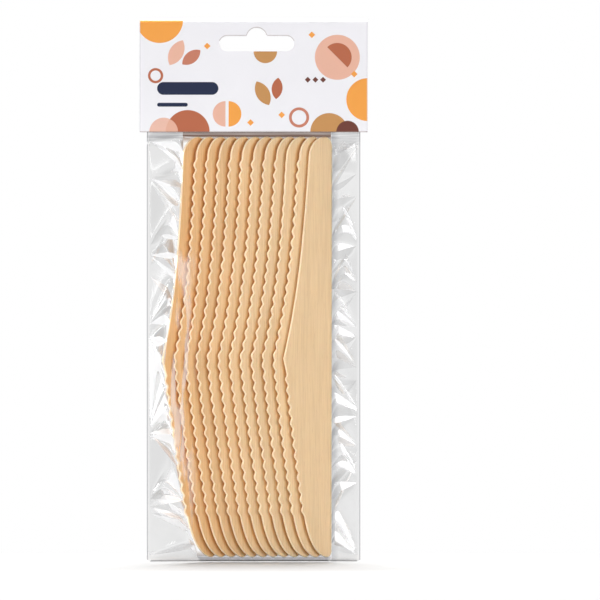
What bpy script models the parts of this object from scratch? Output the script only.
"""A hanging pack of wooden knives: a folded header card over a clear bag that holds them.

Metres, +Z up. The front faces -Y, and +X is the viewer's right. The origin is the middle
of the hang slot, halfway between the card's two flaps. The knives hang handle up, laid
over each other like roof tiles, and the bag and the card take their sizes from the stack.
"""

import math

import bmesh
import bpy
from mathutils import Matrix, Vector

MM = 0.001
TOUCH_GAP = 0.3 * MM  # left between pieces that touch

# Knife outline. Distances run from the handle's end, and widths from the straight back.
KNIFE_LENGTH = 165.0 * MM
KNIFE_THICKNESS = 1.4 * MM
CROWN_FROM_BACK = 3.0 * MM  # the highest point of the handle's round end
END_BACK_RISE = 4.4 * MM  # height of the end's rounding on the back's side
END_FRONT_RISE = 8.7 * MM  # and on the edge's side
HANDLE_WIDTH = 9.6 * MM
HANDLE_TAPER = 0.075  # how fast the handle starts to widen, in width per length
BLADE_START = 87.0 * MM  # the widest point
BLADE_WIDTH = 20.3 * MM
SHOULDER_TAPER = 0.26  # how fast it widens just before the widest point
HEEL_TAPER = -0.10  # how fast the blade narrows behind that
TOE_WIDTH = 12.2 * MM  # at the last notch
TOE_TAPER = -0.155
TIP_FROM_BACK = 2.3 * MM  # the lowest point of the blade's round tip
TIP_BACK_RISE = 2.3 * MM
TOE_BENDS = ((0.49, 0.86), (0.09, 0.62))  # the toe's curve: shares of its length and first width

# Teeth along the blade, and the waves cut along most of the handles
TOOTH_COUNT = 13
TOOTH_PITCH = 4.28 * MM
TOOTH_DEPTH = 0.85 * MM
NOTCH_ROUND = 0.6  # of the notches' form, from 0 for sharp to 1 for as round as the teeth
TOE_LENGTH = 16.2 * MM  # from the last notch to the tip
WAVE_COUNT = 18
WAVE_PITCH = 4.38 * MM
STEPS_PER_TOOTH = 4
EDGE_STEPS = 12  # along a plain handle's edge
ARC_STEPS = 4  # along each quarter of a round end

# The stack of knives, numbered from the rearmost at the left to the front one at the right
KNIFE_COUNT = 12
PLAIN_HANDLES = (1, 12)  # knives with no waves on their handle
LATE_WAVES = (10,)  # knives whose waves start shallow
SHALLOW_SHARE = 0.2  # of the tooth's depth, at the handle's end of such a knife
KNIFE_STEP = 4.31 * MM  # sideways from one knife to the next
FAN_STEP = math.radians(0.15)  # each knife leans this much more than the one in front
FRONT_LEAN = math.radians(-0.1)  # of the front knife; a positive lean is top to the left

# Clear bag
FILM_THICKNESS = 0.2 * MM
FILM_CLEARANCE = 0.4 * MM  # from the knives
SIDE_WELD = 1.2 * MM  # width of the seam down each side
LEFT_MARGIN = 6.2 * MM  # from the first knife's widest point to the bag's edge
RIGHT_MARGIN = 11.4 * MM  # from the front knife's back to the bag's edge
BOTTOM_MARGIN = 1.6 * MM  # from the tips to the bag's lower fold
MOUTH_GAP = 0.4 * MM  # between the two sheets at the open mouth
MOUTH_BELOW_SLOT = 6.0 * MM
SEAM_PULL = 0.35  # how far a side seam follows the stack's nearer corner
TIP_ROOM = 7.5 * MM  # the width that the bag leaves round the knives' tips
RIPPLE_DEPTH = 1.3 * MM  # how far both sheets of a margin bend together, or the spare room if less
CREASE_DEPTH = 1.2 * MM  # how far each sheet bends besides
CREASE_SHARE = 0.38  # of the spare room between the two sheets, where that is less
CREASE_LENGTH = 19.0 * MM  # from one ridge down to the next
CREASE_SLANT = 1.1  # how far a ridge climbs across a margin, in crease lengths
CROSS_SHARE = 0.4  # of the depth, for the finer creases that cross the others
CROSS_LENGTH = 0.62 * CREASE_LENGTH
CROSS_SLANT = -0.75
MARGIN_SHIFTS = (0.17, 0.55)  # where the ridges start in the left and right margins
SHEET_SHIFTS = (0.3, 0.8)  # how far each sheet's own ridges lie from the margin's
MARGIN_STEPS = 4  # columns in each of the bag's margins
STACK_STEPS = 3  # columns over the stack
BACK_STEPS = 2  # columns over the front knife's face, and behind the first knife's
BAG_ROWS = (13, 10, 3)  # rows down the handles, the blades and the toes

# Header card
CARD_THICKNESS = 0.4 * MM
CARD_HEIGHT = 44.0 * MM  # from the fold to the lower edge
CARD_OVERHANG = 2.8 * MM  # past the bag at each side
CARD_ABOVE_KNIVES = 1.75 * MM  # from the handles' ends to the lower edge
FLAT_BELOW_FOLD = 22.0 * MM  # below this the flaps part over the knives
FLAP_SPLAY = 1.3 * MM  # how far each flap stands out at its lower edge
FOLD_STEPS = 6
SPLAY_STEPS = 4

# Hang slot, cut through both flaps
SLOT_BELOW_FOLD = 9.35 * MM  # from the fold to the slot's middle
SLOT_LENGTH = 29.3 * MM
SLOT_HEIGHT = 6.1 * MM
HUMP_RADIUS = 3.9 * MM
HUMP_RISE = 3.2 * MM  # over the straight part
HUMP_FILLET = 0.8 * MM
SLOT_ARC_STEPS = 8
FILLET_STEPS = 2
CUTTER_DEPTH = 15.0 * MM
SLOT_FROM_MIDDLE = 1.2 * MM  # the slot lies this far right of the pack's middle

# Where the pieces lie
PLANE_STEP = KNIFE_THICKNESS + TOUCH_GAP
TILT = math.asin(PLANE_STEP / KNIFE_STEP)  # of each knife, its toothed edge to the front
FOLD_Z = SLOT_BELOW_FOLD
CARD_LOW_Z = FOLD_Z - CARD_HEIGHT
FLAT_LOW_Z = FOLD_Z - FLAT_BELOW_FOLD
KNIFE_TOP_Z = CARD_LOW_Z - CARD_ABOVE_KNIVES
KNIFE_TIP_Z = KNIFE_TOP_Z - KNIFE_LENGTH
BLADE_Z = KNIFE_TOP_Z - BLADE_START
BAG_LOW_Z = KNIFE_TIP_Z - BOTTOM_MARGIN
MOUTH_Z = -SLOT_HEIGHT / 2 - MOUTH_BELOW_SLOT
LAST_NOTCH = KNIFE_LENGTH - TOE_LENGTH
FIRST_NOTCH = LAST_NOTCH - TOOTH_COUNT * TOOTH_PITCH
STACK_WIDTH = BLADE_WIDTH * math.cos(TILT) + (KNIFE_COUNT - 1) * KNIFE_STEP
BAG_WIDTH = LEFT_MARGIN + STACK_WIDTH + RIGHT_MARGIN
BAG_LEFT = -SLOT_FROM_MIDDLE - BAG_WIDTH / 2
BAG_RIGHT = BAG_LEFT + BAG_WIDTH
FRONT_BACK_X = BAG_RIGHT - RIGHT_MARGIN  # the front knife's back, level with its widest point
STACK_Y = HANDLE_WIDTH / 2 * math.sin(TILT)  # sets the handles in line with the card
MOUTH_HALF = MOUTH_GAP / 2 + FILM_THICKNESS
FLAP_HALF = MOUTH_HALF + TOUCH_GAP  # from the middle to a flap's inner face


def clear_scene():
    """Removes whatever the open file holds."""
    for thing in list(bpy.data.objects):
        bpy.data.objects.remove(thing, do_unlink=True)


def make_material(name, colour, roughness, alpha=1.0):
    """A plain Principled material."""
    material = bpy.data.materials.new(name)
    material.use_nodes = True
    shader = material.node_tree.nodes["Principled BSDF"]
    shader.inputs["Base Color"].default_value = (*colour, 1.0)
    shader.inputs["Roughness"].default_value = roughness
    shader.inputs["Metallic"].default_value = 0.0
    shader.inputs["Alpha"].default_value = alpha
    return material


def make_object(name, bm, material):
    """Turns a bmesh into a named object with its faces pointing out."""
    bmesh.ops.recalc_face_normals(bm, faces=bm.faces)
    mesh = bpy.data.meshes.new(name)
    bm.to_mesh(mesh)
    bm.free()
    mesh.materials.append(material)
    thing = bpy.data.objects.new(name, mesh)
    bpy.context.collection.objects.link(thing)
    return thing


def prism(outline, depth):
    """A bmesh slab: the closed outline of (x, z) points, depth thick about y = 0."""
    bm = bmesh.new()
    near = [bm.verts.new((x, -depth / 2, z)) for x, z in outline]
    far = [bm.verts.new((x, depth / 2, z)) for x, z in outline]
    bm.faces.new(near)
    bm.faces.new(reversed(far))
    for i in range(len(outline)):
        k = (i + 1) % len(outline)
        bm.faces.new((near[i], far[i], far[k], near[k]))
    return bm


def hermite(x, x0, y0, slope0, x1, y1, slope1):
    """The cubic through two points with the given slopes there."""
    span = x1 - x0
    t = (x - x0) / span
    return (
        y0 * (2 * t**3 - 3 * t**2 + 1)
        + slope0 * span * (t**3 - 2 * t**2 + t)
        + y1 * (3 * t**2 - 2 * t**3)
        + slope1 * span * (t**3 - t**2)
    )


def edge_width(along):
    """The knife's width, without teeth, at a distance from the handle's end."""
    if along <= BLADE_START:
        return hermite(
            along, END_FRONT_RISE, HANDLE_WIDTH, HANDLE_TAPER, BLADE_START, BLADE_WIDTH, SHOULDER_TAPER
        )
    return hermite(along, BLADE_START, BLADE_WIDTH, HEEL_TAPER, LAST_NOTCH, TOE_WIDTH, TOE_TAPER)


def scallops(first, last, count, depth_at):
    """Round teeth between narrower notches: (along, width) from the first notch to before the last."""
    points = []
    for k in range(count * STEPS_PER_TOOTH):
        along = first + (last - first) * k / (count * STEPS_PER_TOOTH)
        arch = math.sin(math.pi * (k % STEPS_PER_TOOTH) / STEPS_PER_TOOTH)
        bump = (1 - NOTCH_ROUND) * arch + NOTCH_ROUND * arch**2
        points.append((along, edge_width(along) - depth_at(along) * (1 - bump)))
    return points


def wave_depth(number, along):
    """How deep the waves are cut into a numbered knife's handle."""
    if number in PLAIN_HANDLES:
        return 0.0
    if number in LATE_WAVES:
        share = SHALLOW_SHARE + (1 - SHALLOW_SHARE) * min(1.0, along / (BLADE_START / 2)) ** 3
        return TOOTH_DEPTH * share
    return TOOTH_DEPTH


def quarter_arc(along0, width0, along1, width1, steps, flat_first):
    """Points strictly inside a quarter ellipse from one point to another."""
    points = []
    for k in range(1, steps):
        turn = math.pi / 2 * k / steps
        a, w = (1 - math.cos(turn), math.sin(turn)) if flat_first else (math.sin(turn), 1 - math.cos(turn))
        points.append((along0 + (along1 - along0) * a, width0 + (width1 - width0) * w))
    return points


def toe_curve(width_at_notch):
    """The blade's round belly from the last notch to the tip, as a cubic curve."""
    knots = [Vector((LAST_NOTCH, width_at_notch))]
    for length_share, width_share in TOE_BENDS:
        knots.append(Vector((KNIFE_LENGTH - TOE_LENGTH * length_share, width_at_notch * width_share)))
    knots.append(Vector((KNIFE_LENGTH, TIP_FROM_BACK)))
    points = []
    for k in range(2 * ARC_STEPS):
        t = k / (2 * ARC_STEPS)
        p = (
            knots[0] * (1 - t) ** 3
            + knots[1] * 3 * t * (1 - t) ** 2
            + knots[2] * 3 * t**2 * (1 - t)
            + knots[3] * t**3
        )
        points.append((p.x, p.y))
    return points


def knife_edge(number):
    """(along, width) all the way round a knife, from its back over the handle's end to the tip."""
    waved = number not in PLAIN_HANDLES
    start_width = HANDLE_WIDTH - wave_depth(number, 0.0)
    points = [(END_BACK_RISE, 0.0)]
    points += quarter_arc(END_BACK_RISE, 0.0, 0.0, CROWN_FROM_BACK, ARC_STEPS, False)
    points.append((0.0, CROWN_FROM_BACK))
    points += quarter_arc(0.0, CROWN_FROM_BACK, END_FRONT_RISE, start_width, 2 * ARC_STEPS, True)
    if waved:
        wave_end = END_FRONT_RISE + WAVE_COUNT * WAVE_PITCH
        blade_teeth = max(1, round((LAST_NOTCH - wave_end) / TOOTH_PITCH))
        points += scallops(END_FRONT_RISE, wave_end, WAVE_COUNT, lambda along: wave_depth(number, along))
        points += scallops(wave_end, LAST_NOTCH, blade_teeth, lambda along: TOOTH_DEPTH)
    else:
        for k in range(EDGE_STEPS):
            along = END_FRONT_RISE + (BLADE_START - END_FRONT_RISE) * k / EDGE_STEPS
            points.append((along, edge_width(along)))
        points.append((BLADE_START, BLADE_WIDTH))
        points += scallops(FIRST_NOTCH, LAST_NOTCH, TOOTH_COUNT, lambda along: TOOTH_DEPTH)
    points += toe_curve(TOE_WIDTH - TOOTH_DEPTH)
    points.append((KNIFE_LENGTH, TIP_FROM_BACK))
    points += quarter_arc(KNIFE_LENGTH, TIP_FROM_BACK, KNIFE_LENGTH - TIP_BACK_RISE, 0.0, ARC_STEPS, True)
    points.append((KNIFE_LENGTH - TIP_BACK_RISE, 0.0))
    return points


def knife_matrix(number):
    """Places a knife, whose origin is on its back, level with its widest point."""
    behind = KNIFE_COUNT - number
    place = Vector((FRONT_BACK_X - behind * KNIFE_STEP, STACK_Y, BLADE_Z))
    lean = FRONT_LEAN + behind * FAN_STEP
    return Matrix.Translation(place) @ Matrix.Rotation(TILT, 4, "Z") @ Matrix.Rotation(-lean, 4, "Y")


def make_knife(number, material):
    """One flat knife, cut from a thin board."""
    outline = [(-width, BLADE_START - along) for along, width in knife_edge(number)]
    knife = make_object(f"knife_{number:02d}", prism(outline, KNIFE_THICKNESS), material)
    knife.matrix_world = knife_matrix(number)
    return knife


def slot_outline():
    """The hang slot as (x, z) points: a straight slot with round ends and a hump in its top."""
    half, straight = SLOT_HEIGHT / 2, (SLOT_LENGTH - SLOT_HEIGHT) / 2
    hump_z = half + HUMP_RISE - HUMP_RADIUS
    fillet_z = half + HUMP_FILLET
    reach = HUMP_RADIUS + HUMP_FILLET
    fillet_x = math.sqrt(reach**2 - (fillet_z - hump_z) ** 2)
    meet = math.atan2(fillet_z - hump_z, fillet_x)  # where the fillet meets the hump
    right = []
    for k in range(SLOT_ARC_STEPS + 1):
        turn = -math.pi / 2 + math.pi * k / SLOT_ARC_STEPS
        right.append((straight + half * math.cos(turn), half * math.sin(turn)))
    for k in range(FILLET_STEPS + 1):
        turn = -math.pi / 2 - (math.pi / 2 - meet) * k / FILLET_STEPS
        right.append((fillet_x + HUMP_FILLET * math.cos(turn), fillet_z + HUMP_FILLET * math.sin(turn)))
    for k in range(1, SLOT_ARC_STEPS // 2):
        turn = meet + (math.pi / 2 - meet) * k / (SLOT_ARC_STEPS // 2)
        right.append((HUMP_RADIUS * math.cos(turn), hump_z + HUMP_RADIUS * math.sin(turn)))
    left = [(-x, z) for x, z in reversed(right)]
    return right + [(0.0, hump_z + HUMP_RADIUS)] + left


def flap_levels():
    """Heights of the bends in a flap, from where it stops being flat down to its edge."""
    return [FLAT_LOW_Z + (CARD_LOW_Z - FLAT_LOW_Z) * k / SPLAY_STEPS for k in range(SPLAY_STEPS + 1)]


def flap_inner(z):
    """How far a flap's inner face is from the middle."""
    down = max(0.0, (FLAT_LOW_Z - z) / (FLAT_LOW_Z - CARD_LOW_Z))
    return FLAP_HALF + FLAP_SPLAY * down**2


def make_header_card(material):
    """One sheet of card, folded over the bag's mouth, with the hang slot through both flaps."""
    outer = FLAP_HALF + CARD_THICKNESS
    bend_z = FOLD_Z - outer
    inner_side = [(-flap_inner(z), z) for z in reversed(flap_levels())]
    outer_side = [(-flap_inner(z) - CARD_THICKNESS, z) for z in reversed(flap_levels())]
    for radius, side in ((FLAP_HALF, inner_side), (outer, outer_side)):
        for k in range(FOLD_STEPS + 1):
            turn = math.pi - math.pi * k / FOLD_STEPS
            side.append((radius * math.cos(turn), bend_z + radius * math.sin(turn)))
        side += [(flap_inner(z) + radius - FLAP_HALF, z) for z in flap_levels()]
    section = outer_side + inner_side[::-1]
    low, high = BAG_LEFT - CARD_OVERHANG, BAG_RIGHT + CARD_OVERHANG
    bm = bmesh.new()
    ends = [[bm.verts.new((x, y, z)) for y, z in section] for x in (low, high)]
    half = len(outer_side)
    for end in ends:
        for i in range(half - 1):
            bm.faces.new((end[i], end[i + 1], end[-2 - i], end[-1 - i]))
    for i in range(len(section)):
        k = (i + 1) % len(section)
        bm.faces.new((ends[0][i], ends[0][k], ends[1][k], ends[1][i]))
    card = make_object("header_card", bm, material)
    cutter = make_object("slot_cutter", prism(slot_outline(), CUTTER_DEPTH), material)
    cutter.hide_render = True
    cutter.display_type = "WIRE"
    cut = card.modifiers.new("hang_slot", "BOOLEAN")
    cut.operation = "DIFFERENCE"
    cut.solver = "EXACT"
    cut.object = cutter
    return card


def stack_corner(number, z, on_back, to_front):
    """(x, y) of a knife's corner at a height, from the outline without its teeth."""
    matrix = knife_matrix(number)
    side = -KNIFE_THICKNESS / 2 if to_front else KNIFE_THICKNESS / 2
    along = KNIFE_TOP_Z - z
    for _ in range(3):  # the lean moves the point up or down a little
        inside = min(max(along, END_FRONT_RISE), LAST_NOTCH)
        width = edge_width(inside)
        if along > LAST_NOTCH:
            width += (TIP_ROOM - TOE_WIDTH) * min(1.0, (along - LAST_NOTCH) / TOE_LENGTH)
        point = matrix @ Vector((0.0 if on_back else -width, side, BLADE_START - along))
        along += point.z - z
    return Vector((point.x, point.y))


def miter(before, corner, after, distance):
    """Moves a section's corner out, so that both of its sides move out by the distance."""
    normals = []
    for a, b in ((before, corner), (corner, after)):
        run = (b - a).normalized()
        normals.append(Vector((run.y, -run.x)))
    return corner + (normals[0] + normals[1]) * distance / (1 + normals[0].dot(normals[1]))


def ridge(phase):
    """A triangle wave from -1 to 1."""
    return 4 * abs(phase - math.floor(phase + 0.5)) - 1


def crease(z, across, shift):
    """Creases that slant across a margin, from -1 to 1, at a height and a share of its width."""
    main = ridge(z / CREASE_LENGTH + CREASE_SLANT * across + shift)
    cross = ridge(z / CROSS_LENGTH + CROSS_SLANT * across - shift)
    return math.sin(math.pi * across) * ((1 - CROSS_SHARE) * main + CROSS_SHARE * cross)


def bag_corners(z):
    """The bag's section at a height: its two seams, and where it bends over the stack."""
    level = min(z, KNIFE_TOP_Z)
    first_left = stack_corner(1, level, False, True)
    last_left = stack_corner(KNIFE_COUNT, level, False, True)
    last_back = stack_corner(KNIFE_COUNT, level, True, False)
    first_back = stack_corner(1, level, True, False)
    left = Vector((BAG_LEFT, SEAM_PULL * first_left.y))
    right = Vector((BAG_RIGHT, SEAM_PULL * last_back.y))
    out = FILM_CLEARANCE + FILM_THICKNESS
    front = [miter(left, first_left, last_left, out), miter(first_left, last_left, right, out)]
    rear = [miter(right, last_back, first_back, out), miter(last_back, first_back, left, out)]
    if z >= CARD_LOW_Z:
        half = flap_inner(z) - TOUCH_GAP
        left.y = right.y = 0.0
        front = [Vector((p.x, -half)) for p in front]
        rear = [Vector((p.x, half)) for p in rear]
    return left, front, right, rear


def bag_row(z):
    """Front and rear sheets of the bag at a height, each as outer (x, y) points from left to right."""
    left, front, right, rear = bag_corners(z)
    stack_right = rear[0].x
    sheets = []
    for sign, (first, second) in ((-1, front), (1, rear[::-1])):
        seam = Vector((0.0, sign * FILM_THICKNESS))
        weld = Vector((SIDE_WELD, 0.0))
        start, end = left + weld + seam, right - weld + seam
        if sign < 0:
            turn = second.lerp(end, (stack_right - second.x) / (end.x - second.x))
            bends = [start, first, second, turn, end]
            steps = [MARGIN_STEPS, STACK_STEPS, BACK_STEPS, MARGIN_STEPS]
        else:
            turn = start.lerp(first, (front[0].x - start.x) / (first.x - start.x))
            bends = [start, turn, first, second, end]
            steps = [MARGIN_STEPS, BACK_STEPS, STACK_STEPS, MARGIN_STEPS]
        points = [left + seam, start]
        for a, b, count in zip(bends, bends[1:], steps):
            points += [a.lerp(b, i / count) for i in range(1, count + 1)]
        points.append(right + seam)
        sheets.append(points)
    return sheets


def add_creases(z, sheets):
    """Creases the margins: both sheets together, and each by its share of the room between them."""
    last = len(sheets[0]) - 2
    for i in range(1, MARGIN_STEPS):
        for column, shift in zip((1 + i, last - i), MARGIN_SHIFTS):
            room = max(0.0, sheets[1][column].y - sheets[0][column].y - 2 * FILM_THICKNESS - MOUTH_GAP)
            depth = min(CREASE_DEPTH, CREASE_SHARE * room)
            together = min(RIPPLE_DEPTH, room) * crease(z, i / MARGIN_STEPS, shift)
            for sheet, own in zip(sheets, SHEET_SHIFTS):
                sheet[column].y += together + depth * crease(z, i / MARGIN_STEPS, shift + own)


def inner_row(sheets):
    """The inner faces of both sheets: the weld's line is shared, and the rest lie a wall in."""
    rows = []
    for sign, points in ((-1, sheets[0]), (1, sheets[1])):
        inside = []
        for i in range(2, len(points) - 2):
            moved = miter(points[i - 1], points[i], points[i + 1], sign * FILM_THICKNESS)
            inside.append(moved)
        rows.append(inside)
    left = (sheets[0][1] + sheets[1][1]) / 2
    right = (sheets[0][-2] + sheets[1][-2]) / 2
    return [[left] + rows[0] + [right], [left] + rows[1] + [right]]


def bag_heights():
    """Heights of the bag's rows, from its mouth down to the knives' tips."""
    heights = [MOUTH_Z] + [z for z in flap_levels() if z < MOUTH_Z - FILM_THICKNESS]
    top, tip = KNIFE_TOP_Z + FILM_CLEARANCE, KNIFE_TIP_Z - FILM_CLEARANCE
    notch_z = KNIFE_TOP_Z - LAST_NOTCH
    ends = (top, BLADE_Z, notch_z, tip)
    for start, end, rows in zip(ends, ends[1:], BAG_ROWS):
        heights += [start + (end - start) * k / rows for k in range(rows)]
    return heights + [tip]


def make_film_bag(material):
    """One clear sheet folded at the bottom and welded at the sides, with its creases."""
    bm = bmesh.new()
    heights = bag_heights()
    outer_rows, inner_rows = [], []
    for z in heights:
        sheets = bag_row(z)
        if KNIFE_TIP_Z < z < KNIFE_TOP_Z:
            add_creases(z, sheets)
        inside = inner_row(sheets)
        outer_rows.append([[bm.verts.new((p.x, p.y, z)) for p in sheet] for sheet in sheets])
        left = bm.verts.new((inside[0][0].x, inside[0][0].y, z))
        right = bm.verts.new((inside[0][-1].x, inside[0][-1].y, z))
        grids = [[bm.verts.new((p.x, p.y, z)) for p in sheet[1:-1]] for sheet in inside]
        inner_rows.append([[left] + grid + [right] for grid in grids])
    low = [(a + b) / 2 for a, b in zip(*bag_row(heights[-1]))]
    fold = [
        [bm.verts.new((p.x, p.y + sign * FILM_THICKNESS, BAG_LOW_Z)) for p in low] for sign in (-1, 1)
    ]
    outer_rows.append(fold)
    inside_z = BAG_LOW_Z + 2 * FILM_THICKNESS
    crotch = [bm.verts.new((p.x, p.y, inside_z)) for p in low[2:-2]]
    crotch = [inner_rows[-1][0][0]] + crotch + [inner_rows[-1][0][-1]]
    inner_rows.append([crotch, crotch])
    for rows in (outer_rows, inner_rows):
        for above, below in zip(rows, rows[1:]):
            for side in range(2):
                a, b = above[side], below[side]
                for i in range(len(a) - 1):
                    bm.faces.new(tuple(dict.fromkeys((a[i], a[i + 1], b[i + 1], b[i]))))
    for above, below in zip(outer_rows, outer_rows[1:]):
        for end in (0, -1):
            bm.faces.new((above[0][end], above[1][end], below[1][end], below[0][end]))
    for i in range(len(low) - 1):
        bm.faces.new((fold[0][i], fold[0][i + 1], fold[1][i + 1], fold[1][i]))
    outer, inner = outer_rows[0], inner_rows[0]
    for end, weld in ((0, 1), (-1, -2)):
        inner_end = inner[0][end]
        bm.faces.new((outer[0][end], outer[0][weld], inner_end, outer[1][weld], outer[1][end]))
    for side in range(2):
        for i in range(len(inner[side]) - 1):
            o = outer[side]
            bm.faces.new((o[i + 1], o[i + 2], inner[side][i + 1], inner[side][i]))
    return make_object("film_bag", bm, material)


def main():
    clear_scene()
    card = make_material("white_card", (0.93, 0.92, 0.95), 0.55)
    film = make_material("clear_film", (0.95, 0.96, 0.97), 0.08, 0.25)
    wood = make_material("birch", (0.81, 0.60, 0.36), 0.6)
    make_header_card(card)
    make_film_bag(film)
    for number in range(1, KNIFE_COUNT + 1):
        make_knife(number, wood)


main()
